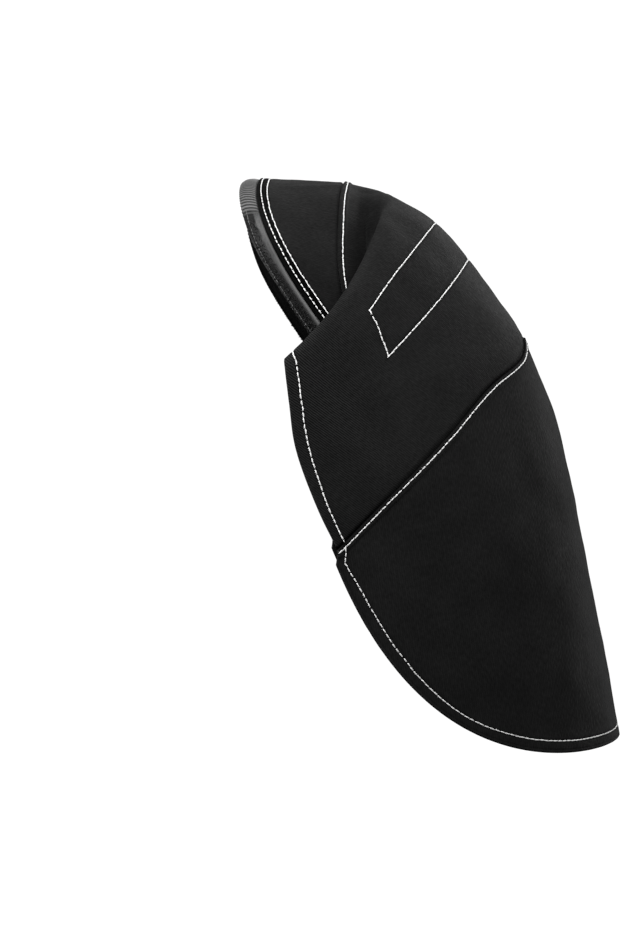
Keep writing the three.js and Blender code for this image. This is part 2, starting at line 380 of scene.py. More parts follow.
def sheet_object(name, mid, out, inn, round_off, tones, flat=None, stations=None):
    """A closed sheet of cloth or tape. round_off falls from 1 inside it to 0 at its edges, where both faces
    meet. Its outer and inner faces are kept as rows and columns of points."""
    normal = outward(mid)
    middle, half = (out - inn) / 2, (out + inn) / 2 * round_off
    outer = mid + normal * (middle + half)[..., None]
    inner = mid + normal * (middle - half)[..., None]
    rows, columns = mid.shape[:2]
    outer_id = np.arange(rows * columns).reshape(rows, columns)
    inner_id = outer_id.copy()
    inner_id[1:-1, 1:-1] = rows * columns + np.arange((rows - 2) * (columns - 2)).reshape(rows - 2, -1)
    faces = np.concatenate([grid_faces(outer_id), grid_faces(inner_id)[:, ::-1]])

    def both(values):
        """One value a point of both faces, which share the points of the edges."""
        on_outer = values.reshape(rows * columns, -1)
        return np.concatenate([on_outer, values[1:-1, 1:-1].reshape((rows - 2) * (columns - 2), -1)])

    points = np.concatenate([outer.reshape(-1, 3), inner[1:-1, 1:-1].reshape(-1, 3)])
    uv = None if flat is None else both(flat)
    piece = add_object(name, points, faces, uv, {tone: both(values)[:, 0] for tone, values in tones.items()})
    return Sheet(piece, mid, outer, inner, stations)


def face_finder(face, inside=False):
    """Finds the nearest place on one face of a sheet, and the direction away from the cloth there."""
    faces = grid_faces(np.arange(face.shape[0] * face.shape[1]).reshape(face.shape[:2]))
    return BVHTree.FromPolygons(face.reshape(-1, 3).tolist(), (faces[:, ::-1] if inside else faces).tolist())


# Panels

# Turns of the columns of points, closest together at the side edges
EDGE_TURNS = [
    84.4, 84.8, 85.2, 85.6, 86, 86.4, 86.8, 87.2, 87.6, 88, 88.4, 88.8, 89.1, 89.4, 89.6, 89.78, 89.9, 90,
]
HALF_TURNS = np.concatenate([np.linspace(0, 84, 76), EDGE_TURNS])
TURNS = np.concatenate([-HALF_TURNS[:0:-1], HALF_TURNS])
# Rows of points beside a seam that tucks under, a raised seam, a hem and the rim: distances from the edge.
TUCK_STEPS = mm(4.5, 3.6, 2.8, 2.2, 1.7, 1.2, 0.8, 0.4, 0, -0.3, -0.55, -0.72, -0.8)
SEAM_STEPS = mm(0, 0.06, 0.2, 0.45, 0.8, 1.2, 1.6, 2, 2.4, 2.8, 3.3, 3.9, 4.5, 5.1, 5.8)
HEM_STEPS = mm(
    0, 0.06, 0.2, 0.45, 0.8, 1.2, 1.5, 1.8, 2.1, 2.5, 3, 3.6, 4.2, 4.7, 5.2, 5.7, 6.2, 6.7, 7.2, 7.7, 8.3,
    9, 10.2, 11.8,
)
RIM_STEPS = mm(
    0, 0.06, 0.2, 0.45, 0.8, 1.3, 1.8, 2.3, 2.8, 3.3, 3.8, 4.4, 5, 5.5, 6, 6.5, 7, 7.6, 8.2, 8.8, 9.4,
    10.2, 11, 12.5,
)
# Rows of points between these: in the crown and the cape, and in the back panel from each of these stations
# to the next or, from the last, to the lower seam.
CROWN_FILL = 15
CAPE_FILL = 62
BACK_FILL = {0.72: 3, 1: 4, 2: 4, 3: 13, 4: 5, 5: 5, 6: 12, 7: 13, 8: 20, 9: 8, 9.7: 3}


def fill_between(first, last, count):
    """Stations spread evenly between two rows of stations."""
    shares = np.arange(1, count + 1)[:, None] / (count + 1)
    return first * (1 - shares) + last * shares


def line_on(rails, start, end, count=60):
    """A line on a panel, from one (turn, station) to another."""
    turns, stations = np.linspace(start, end, count).T
    crossings = points_at(lines_through(rails, turns), np.repeat(stations[:, None], count, axis=1))
    return crossings[np.arange(count), np.arange(count)]


def tucked(mid, seam):
    """The surface with its last rows bent inwards, under the panel that is stitched on at the seam."""
    past = np.full(mid.shape[:2], -1.0)
    past[-np.count_nonzero(TUCK_STEPS < 0):] = 1
    from_seam = -past * distance_to(seam, mid)
    return mid - outward(mid) * (TUCK * (1 - ease(from_seam, *TUCK_BEND)))[..., None]


def wrinkled(mid, wrinkles, from_edge, from_hem, loose=1, hemmed=1):
    """The surface with the soft unevenness of hung canvas. loose and hemmed say where its waves, and the
    higher puckers along its hem, have their full height."""
    height, full_at, puckers, hem_puckers, hem_place, hem_width = wrinkles
    broad = height * ease(from_edge, 0, full_at) * loose
    pucker = puckers + hem_puckers * hemmed * bump_at(from_hem, hem_place, hem_width)
    waves = ripple(mid, BROAD_WAVE, 1) + 0.5 * ripple(mid, NARROW_WAVE, 2)
    return mid + outward(mid) * (broad * waves + pucker * ripple(mid, PUCKER, 3))[..., None]


def creased(mid, folds, where=1):
    """The surface with soft ridges and hollows on both sides, in the part of it that where picks."""
    lift = np.zeros(mid.shape[:2])
    for stretches, width, height in folds:
        for side in (-1, 1):
            line = np.concatenate([
                line_on(rails, (side * turn, station), (side * turn_to, station_to))
                for rails, (turn, station), (turn_to, station_to) in stretches
            ])
            lift += height * bump_at(distance_to(line, mid), 0, width)
    return mid + outward(mid) * (lift * where)[..., None]


def edge_round(distance, radius=EDGE_RADIUS):
    """Round profile of an edge: 0 at the edge, 1 from this radius inwards."""
    return np.sqrt(np.clip(1 - (1 - np.clip(distance / radius, 0, 1)) ** 2, 0, 1))


def sewn_down(distance, row):
    """The narrow dent that a row of stitches pulls into the cloth."""
    return bump_at(distance, row, DENT_WIDTH)


def seam_strip(from_seam):
    """The strip beside a seam that its allowance raises."""
    return ease(from_seam, *ALLOWANCE_START) * (1 - ease(from_seam, *ALLOWANCE_END))


def rim_row(row, turns):
    """Distance of one of the two rows at the rim from the cloth's edge."""
    high, low = RIM_ROWS[row]
    return high + (low - high) * ease(np.abs(turns), *RIM_SPREAD)


def hem_row(table, points):
    """Distance of a row along a hem from the edge, at the points' heights."""
    heights, distances = table.T
    return np.interp(points[..., 2], heights, distances)


def crown_panel():
    """The crescent from the rim, with its wide hem and two rows of stitches, to the crown seam."""
    lines = lines_through(CROWN_RAILS, TURNS)
    start = stations_by_distance(lines, RIM_STEPS)
    end = stations_by_distance(lines, TUCK_STEPS, from_end=True)
    stations = np.concatenate([start, fill_between(start[-1], end[0], CROWN_FILL), end])
    mid = points_at(lines, stations)
    crown_seam = rail_line("crown_seam", TURNS)
    beside_seam = distance_to(crown_seam, mid)
    mid = tucked(mid, crown_seam)
    from_rim = distance_to(mid[0], mid)
    from_seam = distance_to(mid[-1], mid)
    from_side = np.minimum(distance_to(mid[:, 0], mid), distance_to(mid[:, -1], mid))
    first, second = (rim_row(row, TURNS)[None] for row in (0, 1))
    # Painted shade: on the stitch dents, on the hem up to just past its second row, on a strip beside the
    # seam, and lower down near the flap.
    dents_and_shade = sewn_down(from_rim, first) + sewn_down(from_rim, second)
    painted_shade = 1 - ease(from_rim, second, second + HEM_SHADE_FADE)
    shaded = 0.7 * bump_at(beside_seam, *CROWN_SEAM_SHADE)
    shaded += 0.2 * ease(np.abs(TURNS), *CROWN_DARK_TURNS)[None]
    mid = wrinkled(mid, CROWN_WRINKLES, np.minimum(from_rim, from_seam), from_rim)
    mid = creased(mid, CROWN_FOLDS)
    hem = 1 - ease(from_rim, *RIM_HEM_END)
    out = CLOTH / 2 - RIM_DENT * dents_and_shade
    inn = CLOTH / 2 + HEM_RISE * hem
    round_off = edge_round(np.minimum(from_rim, np.minimum(from_seam, from_side)))
    tones = {
        "wear": bump_at(from_rim, 0, RUBBED),
        "dents_and_shade": np.clip(0.7 * dents_and_shade + 0.7 * painted_shade + shaded, 0, 1),
        "wale": np.full_like(from_rim, FAINT_WALE),
    }
    return sheet_object("crown_cloth", mid, out, inn, round_off, tones, flat_pattern(mid), stations)


def pleat_shade(stations):
    """The shade in the pleat, from the crown seam to the fold. Lower down it starts nearer to the seam and
    deepens, and at the top it fades out past the fold."""
    turn = np.abs(TURNS)[None]
    lower = ease(turn, *PLEAT_LOWER)
    upper = 1 - ease(turn, *PLEAT_UPPER)
    starts = ease(stations, 0.5 - 0.9 * lower, 1.6 - 0.3 * lower) * ease(turn, *PLEAT_OPENS)
    ends = ease(stations, 4.3 + 0.9 * upper, 5.2 + 1.6 * upper)
    return (0.55 + 0.17 * ease(turn, *PLEAT_DEEPENS)) * starts * (1 - ends)


def back_panel():
    """The panel over the back. It doubles back in a valley and a fold, and ends in the two flaps."""
    lines = lines_through(BACK_RAILS, TURNS)
    start = stations_by_distance(lines, SEAM_STEPS)
    end = stations_by_distance(lines, TUCK_STEPS, from_end=True)
    marks = list(BACK_FILL)
    spread = [np.linspace(a, b, BACK_FILL[a], endpoint=False) for a, b in zip(marks, marks[1:])]
    middle = np.repeat(np.concatenate(spread)[:, None], len(TURNS), axis=1)
    last = fill_between(middle[-1], end[0], BACK_FILL[marks[-1]])
    stations = np.concatenate([start, middle, last, end])
    mid = points_at(lines, stations)
    cape_seam = rail_line("cape_seam", TURNS)
    beside_cape = distance_to(cape_seam, mid)
    mid = tucked(mid, cape_seam)
    flap = stations >= FOLD
    in_seam = stations < 1
    from_seam = distance_to(mid[0], mid)
    from_cape = distance_to(mid[-1], mid)
    from_front = np.minimum(*(distance_to(mid[flap[:, side], side], mid) for side in (0, -1)))
    from_side = np.minimum(distance_to(mid[:, 0], mid), distance_to(mid[:, -1], mid))
    dents_and_shade = in_seam * sewn_down(from_seam, CROWN_ROW) + flap * sewn_down(from_front, hem_row(FLAP_ROW, mid))
    dents_and_shade = np.clip(dents_and_shade + sum(sewn_down(distance_to(row, mid), 0) for row in band_rows()), 0, 1)
    from_edge = np.minimum(from_seam, np.minimum(from_cape, from_front))
    mid = wrinkled(mid, BACK_WRINKLES, from_edge, from_front, 0.35 + 0.65 * flap, flap)
    mid = creased(creased(mid, FLAP_FOLDS, flap), PLEAT_FOLDS, stations < FOLD - 1)
    hem = flap * (1 - ease(from_front, *FLAP_HEM_END))
    out = CLOTH / 2 + SEAM_RISE * in_seam * seam_strip(from_seam) - DENT * dents_and_shade
    inn = CLOTH / 2 + HEM_RISE * hem
    round_off = edge_round(np.minimum(np.minimum(from_seam, from_cape), from_side))
    wear = flap * bump_at(from_front, 0, RUBBED)
    wear += 0.6 * bump_at(stations, *FOLD_WEAR) * ease(np.abs(TURNS), *FOLD_WEAR_TURNS)[None]
    # Painted shade: on the stitch dents, on a strip above the cape seam, and in the pleat.
    shaded = bump_at(beside_cape, *CAPE_SEAM_SHADE) + pleat_shade(stations)
    near_front = flap * (1 - ease(from_front, *WALE_FADE))
    wale = 0.25 + 0.75 * near_front * (0.25 + 0.75 * ease(mid[..., 2], *WALE_HEIGHTS))
    tones = {"wear": np.clip(wear, 0, 1), "dents_and_shade": np.clip(0.7 * dents_and_shade + shaded, 0, 1), "wale": wale}
    return sheet_object("back_cloth", mid, out, inn, round_off, tones, flat_pattern(mid), stations)


def band_rows():
    """The stitched rectangle across the back: its long sides, then its short ones."""
    rows = [rail_line(rail, np.linspace(-end, end, 500)) for rail, end in BAND_ENDS.items()]
    upper, lower = BAND_ENDS.values()
    return rows + [
        line_on(BACK_RAILS, (side * upper, BAND_TOP), (side * lower, BAND_TOP + 1)) for side in (-1, 1)
    ]


def neck_cape():
    """The half-moon from the cape seam to the curved hem with its rolled edge."""
    lines = lines_through(CAPE_RAILS, TURNS)
    start = stations_by_distance(lines, SEAM_STEPS)
    end = stations_by_distance(lines, HEM_STEPS[::-1], from_end=True)
    stations = np.concatenate([start, fill_between(start[-1], end[0], CAPE_FILL), end])
    mid = points_at(lines, stations)
    from_seam = distance_to(mid[0], mid)
    from_hem = distance_to(np.concatenate([mid[:, 0], mid[-1], mid[::-1, -1]]), mid)
    # Painted shade: on the stitch dents, along the cape's edge at the seam, and in the rolled edge's groove.
    dents_and_shade = np.clip(sewn_down(from_seam, CAPE_ROW) + sewn_down(from_hem, hem_row(HEM_ROW, mid)), 0, 1)
    shaded = bump_at(from_seam, *CAPE_EDGE_SHADE)
    rolled = bump_at(from_hem, *ROLL) * ease(from_seam, *ROLL_START)
    mid = wrinkled(mid, CAPE_WRINKLES, np.minimum(from_seam, from_hem), from_hem)
    mid = creased(mid, CAPE_FOLDS)
    hem = 1 - ease(from_hem, *CAPE_HEM_END)
    out = CLOTH / 2 + SEAM_RISE * seam_strip(from_seam) - DENT * dents_and_shade - ROLL_DEPTH * rolled
    inn = CLOTH / 2 + HEM_RISE * hem
    round_off = edge_round(np.minimum(from_seam, from_hem))
    tones = {
        "wear": bump_at(from_hem, 0, RUBBED),
        "dents_and_shade": np.clip(0.7 * dents_and_shade + 0.2 * rolled + shaded, 0, 1),
        "wale": np.full_like(from_hem, FAINT_WALE),
    }
    return sheet_object("cape_cloth", mid, out, inn, round_off, tones, flat_pattern(mid), stations)


# Hook tape

# Its section, front edge first: forward of the cloth's edge, sunk below the cloth's middle. Lower down, what
# lies in front of the pivot turns inwards by this many degrees, growing between these turns.
TAPE_SECTION = mm((9.2, 3.6), (7.6, 2), (5, 1.2), (1.9, 1.2), (0.8, 1.7), (0.4, 3.2), (-8, 3.5))
TAPE_PIVOT = mm(1.9, 1.2)
TAPE_TWIST = 47
TWIST_TURNS = (42, 72)
# Points of it: how far apart along the rim, beside its edges, and how many rows between them.
TAPE_STEP = 0.44 * MM
TAPE_EDGE_STEPS = mm(0, 0.05, 0.2, 0.45)
TAPE_INSET = 0.9 * MM
TAPE_ROWS = 24
# Real ribs are about 1 mm apart. They are drawn wider, so that they show. They end between these turns, get
# a painted highlight that is palest at the top, and give the front edge small teeth.
RIB = 2.8 * MM
RIB_HEIGHT = 0.35 * MM
RIB_TURNS = (44, 50)
TOP_HIGHLIGHT_TURNS = (8, 24)
TOOTH = 0.4 * MM
TEETH_START = mm(8, 9.2)
# The face that shows, sunk a little, starts and ends at these distances in front of the cloth's edge.
FACE_START = mm(0.3, 1.2)
FACE_END = mm(8.8, 9.3)
FACE_SINK = 0.2 * MM
# The selvedge beside the cloth, raised and given a painted highlight, at this (place, width), and the
# thinner wall inside towards the front.
SELVEDGE = mm(1.1, 0.6)
SELVEDGE_RISE = 0.15 * MM
THINNED = 0.7 * MM
THINNED_START = mm(5.5, 9)
# The strip without hooks lower down, with a painted highlight: its width at these turns, the height and size
# of the waves of its edge, how softly it ends, and the turns over which its painted highlight fades.
STRIP_TURNS = [0, 46, 52, 65, 76, 90]
STRIP_WIDTHS = mm(3.0, 4.2, 4.2, 3.0, 1.9, 1.7)
STRIP_WAVE = 0.6 * MM
STRIP_WAVE_SIZE = 3.5 * MM
STRIP_END = mm(-0.4, 0.3)
STRIP_DARKENS = (53, 62)
# Hooks: their height, the spread of their swing, lean, place and size, and the edges of their field.
HOOK = 0.8 * MM
HOOK_SWING = 0.5
HOOK_LEAN = 0.15
HOOK_SCATTER = 0.3 * MM
HOOK_SIZES = (0.8, 1.1)
HOOKS_FROM_STRIP = 0.4 * MM
HOOKS_END = 8.4 * MM
# The grey row near the front edge starts at this turn, and it ends with the hooks.
TAPE_ROW = 7.6 * MM
TAPE_ROW_TURN = 45
LAST_TURN = 86


def twisted(forward, sink, turns):
    """Places on the tape's section at each turn. Lower down, the part before the pivot is turned inwards."""
    twist = np.radians(TAPE_TWIST * ease(np.abs(turns), *TWIST_TURNS))
    ahead, below = forward - TAPE_PIVOT[0], sink - TAPE_PIVOT[1]
    turned_forward = TAPE_PIVOT[0] + ahead * np.cos(twist) - below * np.sin(twist)
    turned_sink = TAPE_PIVOT[1] + ahead * np.sin(twist) + below * np.cos(twist)
    return np.where(ahead > 0, turned_forward, forward), np.where(ahead > 0, turned_sink, sink)


def hook_tape():
    """The tape along the rim: ribbed over the crown, where its ribs get a painted highlight. Lower down it
    has a strip without hooks beside the cloth, which gets a painted highlight, and a field of hooks. Returns
    the sheet, the hooks' places on its outer face as rows and columns, and the lines along which its front
    edge is stitched."""
    fine = np.linspace(-90, 90, 2000)
    length = running_length(rail_line("rim", fine))
    turns = np.interp(np.linspace(0, length[-1], int(length[-1] / TAPE_STEP)), length, fine)
    lines = lines_through(CROWN_RAILS, turns)
    rim = points_at(lines, [0.0])[0]
    along = np.gradient(rim, axis=0)
    just_behind = points_at(lines, [0.001])[0]
    out = unit(np.cross(along, just_behind - rim))
    ahead = unit(np.cross(along, out))
    corners = np.column_stack([TAPE_SECTION, np.zeros(len(TAPE_SECTION))])
    section = points_at(past_ends(corners)[:, None], np.linspace(0, len(corners) - 1, 120))[:, 0]
    reach = running_length(section)
    steps = np.linspace(TAPE_INSET, reach[-1] - TAPE_INSET, TAPE_ROWS)
    steps = np.concatenate([TAPE_EDGE_STEPS, steps, reach[-1] - TAPE_EDGE_STEPS[::-1]])
    forward, sink = (np.interp(steps, reach, section[:, i])[:, None] for i in (0, 1))

    turn = np.abs(turns)[None]
    arc = running_length(rim)
    top = (1 - ease(turn, *RIB_TURNS)) * np.ones_like(forward)
    shown = ease(forward, *FACE_START) * (1 - ease(forward, *FACE_END))
    wave = 0.5 + 0.5 * np.cos(2 * np.pi * arc / RIB)[None]
    ribs = wave * shown * top
    selvedge_and_highlight = bump_at(forward, *SELVEDGE) * np.ones_like(turn)
    strip = np.interp(turn, STRIP_TURNS, STRIP_WIDTHS) + STRIP_WAVE * ripple(rim, STRIP_WAVE_SIZE, 4)[None]
    strip_highlight = (1 - top) * (1 - ease(forward - strip, *STRIP_END)) * (1 - 0.75 * ease(turn, *STRIP_DARKENS))
    toothed = TOOTH * wave * top * ease(forward, *TEETH_START)
    places, depths = twisted(forward + toothed, sink, turns)
    mid = rim[None] + places[..., None] * ahead[None] - depths[..., None] * out[None]
    edge = np.minimum(steps, reach[-1] - steps)[:, None]
    ends = np.minimum(arc, arc[-1] - arc)[None]
    round_off = edge_round(np.minimum(edge, ends), TAPE / 2)
    outer_wall = TAPE / 2 + RIB_HEIGHT * ribs + SELVEDGE_RISE * selvedge_and_highlight - FACE_SINK * shown
    inner_wall = TAPE / 2 - THINNED * ease(forward, *THINNED_START) * np.ones_like(turn)
    # Painted highlights: on the ribs, palest at the top, on the strip lower down and on the selvedge.
    top_highlight = (1 - ease(turn, *TOP_HIGHLIGHT_TURNS)) * shown
    tones = {"strip_highlight": strip_highlight, "top": top, "ribs": ribs, "selvedge_and_highlight": selvedge_and_highlight * (1 - top), "top_highlight": top_highlight}
    sheet = sheet_object("ribbed_tape", mid, outer_wall, inner_wall, round_off, tones)
    row, column = np.indices(mid.shape[:2])
    hooked = (forward > strip + HOOKS_FROM_STRIP) & (forward < HOOKS_END)
    hooked &= (turn > RIB_TURNS[1]) & (turn < LAST_TURN)
    sewn_row = sheet.outer[np.argmin(np.abs(forward[:, 0] - TAPE_ROW))]
    sewn_rows = [
        sewn_row[(side * turns > TAPE_ROW_TURN) & (side * turns < LAST_TURN)] for side in (-1, 1)
    ]
    return sheet, np.argwhere(hooked & ((column + row % 2) % 3 == 0)), sewn_rows


def hook_shape():
    """One hook of the tape, about 1 high: a stem that curls over."""
    stem, stem_middle = (0.2, 0.2, 0.7), (0, 0, 0.2)
    curl_centre, curl_step = (0.28, 0, 0.55), math.radians(45)
    bpy.ops.object.select_all(action="DESELECT")
    bpy.ops.mesh.primitive_cube_add(size=1, location=stem_middle)
    bpy.ops.transform.resize(value=stem)
    bpy.ops.object.transform_apply()
    hook = bpy.context.object
    for face in hook.data.polygons:
        face.select = face.normal.z > 0.9
    bpy.ops.object.mode_set(mode="EDIT")
    bpy.ops.mesh.select_mode(type="FACE")
    for _ in range(4):
        bpy.ops.mesh.extrude_region_move()
        bpy.ops.transform.rotate(value=curl_step, orient_axis="Y", center_override=curl_centre)
    bpy.ops.object.mode_set(mode="OBJECT")
    return shape_of(hook)


def hook_field(sheet, places, seed):
    """The tape's hooks as one piece, each turned a little its own way."""
    draw = np.random.default_rng(seed)
    shape, shape_faces = hook_shape()
    normal = outward(sheet.outer)
    along = np.gradient(sheet.outer, axis=1)
    hooks = []
    for row, column in places:
        up = normal[row, column]
        ahead = unit(along[row, column])
        side = np.cross(up, ahead)
        swing = draw.normal(0, HOOK_SWING) + math.pi * draw.integers(0, 2)
        lean = up + HOOK_LEAN * draw.normal() * ahead + HOOK_LEAN * draw.normal() * side
        curls = math.cos(swing) * ahead + math.sin(swing) * side
        beside = math.cos(swing) * side - math.sin(swing) * ahead
        foot = sheet.outer[row, column] + HOOK_SCATTER * (draw.normal() * ahead + draw.normal() * side)
        hooks.append(foot + HOOK * draw.uniform(*HOOK_SIZES) * shape @ np.stack([curls, beside, lean]))
    return copies_object("tape_hooks", hooks, shape_faces)


# Thread

# How stitches differ: in place and length as shares of their pitch, in direction, and to the side.
PLACE_SPREAD = 0.05
LENGTH_SPREAD = 0.04
SWING_SPREAD = 0.03
SIDE_SPREAD = 0.04 * MM
# How a stitch lies: along its row between these shares of the pitch, and in thread widths flattened to this
# height, lifted, and bent down towards its ends.
STITCH_SPAN = np.array([-0.3, 0.3])
STITCH_HEIGHT = 0.85
STITCH_LIFT = 0.3
STITCH_BEND = 1.5


def shape_of(piece):
    """Points and faces of a modelled shape, which is then removed."""
    points = np.array([vertex.co for vertex in piece.data.vertices])
    faces = [list(face.vertices) for face in piece.data.polygons]
    bpy.data.objects.remove(piece)
    return points, faces


def stitch_shape():
    """One stitch, 1 long and 1 wide: a thread that comes up, lies on the cloth and dips in again."""
    bpy.ops.object.select_all(action="DESELECT")
    bpy.ops.mesh.primitive_uv_sphere_add(segments=8, ring_count=6, radius=0.5, rotation=(0, math.pi / 2, 0))
    bpy.ops.object.transform_apply(location=False, rotation=True, scale=False)
    points, faces = shape_of(bpy.context.object)
    # Its ends are blunter than a ball's.
    bluntness, least = 0.45, 0.01
    thickness = np.maximum(2 * np.hypot(points[:, 1], points[:, 2]), least)
    points[:, 1:] *= thickness[:, None] ** -bluntness
    return points, faces


def sew(name, rows, seed, thread=THREAD):
    """Rows of stitches as one piece. Each row is (path, face finder, pitch, share of it that shows)."""
    draw = np.random.default_rng(seed)
    shape, shape_faces = stitch_shape()
    stitches = []
    for path, finder, pitch, share in rows:
        length = running_length(path)
        for place in np.arange(pitch / 2, length[-1], pitch):
            place += draw.normal(0, PLACE_SPREAD) * pitch
            reach = STITCH_SPAN * pitch + place
            start, end = np.stack([np.interp(reach, length, path[:, i]) for i in range(3)], axis=1)
            spot, normal, _, _ = finder.find_nearest(Vector((start + end) / 2))
            up = np.array(normal)
            ahead = end - start
            ahead = unit(ahead - up * ahead.dot(up))
            side = np.cross(up, ahead)
            ahead = ahead + side * draw.normal(0, SWING_SPREAD)
            long = pitch * share * (1 + draw.normal(0, LENGTH_SPREAD))
            x, y, z = shape.T
            lie = np.outer(x * long, ahead) + np.outer(y * thread, side)
            lie += np.outer((z * STITCH_HEIGHT + STITCH_LIFT - STITCH_BEND * x**2) * thread, up)
            stitches.append(lie + np.array(spot) + side * draw.normal(0, SIDE_SPREAD))
    return copies_object(name, stitches, shape_faces)


# Materials

def linear(code):
    """Linear colour of an sRGB hex code."""
    parts = [int(code[i:i + 2], 16) / 255 for i in (1, 3, 5)]
    return [*((c / 12.92 if c <= 0.04045 else ((c + 0.055) / 1.055) ** 2.4) for c in parts), 1]


def add_node(owner, kind, props=None, values=None, links=None, output=None):
    """Adds a shader node to a material or world: its own settings, values or hex colours on its sockets, and
    links to them. Returns the output of this name, or the first one."""
    node = owner.node_tree.nodes.new("ShaderNode" + kind)
    for key, value in (props or {}).items():
        setattr(node, key, value)
    for key, value in (values or {}).items():
        node.inputs[key].default_value = linear(value) if isinstance(value, str) else value
    for key, source in (links or {}).items():
        owner.node_tree.links.new(source, node.inputs[key])
    if output:
        return node.outputs[output]
    return next((socket for socket in node.outputs if socket.enabled), None)


def new_material(name, finish, *tones):
    """A material of this name, with the surface that the function for its finish makes."""
    material = bpy.data.materials.new(name)
    material.use_nodes = True
    material.node_tree.nodes.clear()
    add_node(material, "OutputMaterial", {}, {}, {"Surface": finish(material, *tones)})
    return material


def noise_at(size):
    """Scale of a noise texture with spots of about this size."""
    return 1 / size


def bands_at(size):
    """Scale of a wave texture whose bands repeat at this size. The texture takes its place times 20."""
    return 2 * math.pi / 20 / size


COLOURS = {"data_type": "RGBA"}


def cotton_twill(m):
    """Flame-resistant cotton twill, piece-dyed black and brushed: matt, with fine wales that show most near
    the flaps' front edges, uneven yarn, painted shade in the seams, rows, hems, pleat and groove, which also
    dims its gloss and sheen there, and a greyer tone on rubbed edges."""
    cloth = add_node(m, "UVMap", {"uv_map": "cloth"})
    place = add_node(m, "TexCoord", output="Object")
    shows, dents_and_shade, wear = (
        add_node(m, "Attribute", {"attribute_name": name}, output="Fac") for name in ("wale", "dents_and_shade", "wear")
    )
    # Real wales are about 0.8 mm apart. They are drawn at 1.2 mm, so that they show.
    wale_look = {"Scale": bands_at(1.2 * MM), "Distortion": 1.0, "Detail": 1.0, "Detail Scale": 2.0}
    wale = add_node(m, "TexWave", {"bands_direction": "X"}, wale_look, {"Vector": cloth})
    yarn = add_node(m, "Mapping", {}, {"Scale": (1, 0.4, 1)}, {"Vector": cloth})
    slub_look = {"Scale": noise_at(1.2 * MM), "Detail": 2.0}
    slub = add_node(m, "TexNoise", {}, slub_look, {"Vector": yarn})
    mottle_look = {"Scale": noise_at(28 * MM), "Detail": 4.0, "Roughness": 0.6}
    mottle = add_node(m, "TexNoise", {}, mottle_look, {"Vector": place})
    weave = add_node(m, "Math", {"operation": "MULTIPLY_ADD"}, {}, {0: wale, 1: shows, 2: slub})
    height = add_node(m, "Bump", {}, {"Strength": 1.0, "Distance": 0.3 * MM}, {"Height": weave})
    wale_tone = add_node(m, "MapRange", {}, {"To Min": -0.55, "To Max": 0.55}, {"Value": wale})
    slub_range = {"From Min": 0.3, "From Max": 0.7, "To Min": 0.8, "To Max": 1.2}
    slub_tone = add_node(m, "MapRange", {}, slub_range, {"Value": slub})
    yarns = {0: wale_tone, 1: shows, 2: slub_tone}
    woven = add_node(m, "Math", {"operation": "MULTIPLY_ADD"}, {}, yarns)
    mottle_range = {"From Min": 0.3, "From Max": 0.7, "To Min": 0.85, "To Max": 1.15}
    mottled = add_node(m, "MapRange", {}, mottle_range, {"Value": mottle})
    # Painted shade: the stitch dents, seams, hems, pleat and groove darken the colour, and the gloss and the
    # sheen with it.
    painted_shade = add_node(m, "MapRange", {}, {"To Min": 1.0, "To Max": 0.1}, {"Value": dents_and_shade})
    shade = add_node(m, "Math", {"operation": "MULTIPLY"}, {}, {0: woven, 1: mottled})
    shade = add_node(m, "Math", {"operation": "MULTIPLY"}, {}, {0: shade, 1: painted_shade})
    rubbed = add_node(m, "MapRange", {}, {"To Min": 0.0, "To Max": 0.25}, {"Value": wear})
    dyes = {6: "#161616", 7: "#3a3a3a"}
    dye = add_node(m, "Mix", COLOURS, dyes, {0: rubbed})
    colour = add_node(m, "VectorMath", {"operation": "SCALE"}, {}, {0: dye, "Scale": shade})
    gloss = add_node(m, "Math", {"operation": "MULTIPLY"}, {1: 0.12}, {0: shade})
    fluff = add_node(m, "Math", {"operation": "MULTIPLY"}, {1: 0.06}, {0: shade})
    finish = {"Roughness": 0.92, "Sheen Roughness": 0.5}
    surface = {"Base Color": colour, "Normal": height, "Specular IOR Level": gloss, "Sheen Weight": fluff}
    return add_node(m, "BsdfPrincipled", {}, finish, surface)


def spun_thread(m, dark, light):
    """Core-spun sewing thread: slightly glossy twisted yarn, darker and lighter along its plies."""
    place = add_node(m, "TexCoord", output="Object")
    ply_look = {"Scale": noise_at(0.5 * MM), "Detail": 2.0}
    ply = add_node(m, "TexNoise", {}, ply_look, {"Vector": place})
    tone = add_node(m, "Mix", COLOURS, {6: dark, 7: light}, {0: ply})
    height = add_node(m, "Bump", {}, {"Strength": 0.4, "Distance": 0.1 * MM}, {"Height": ply})
    finish = {"Roughness": 0.6, "Specular IOR Level": 0.4}
    return add_node(m, "BsdfPrincipled", {}, finish, {"Base Color": tone, "Normal": height})


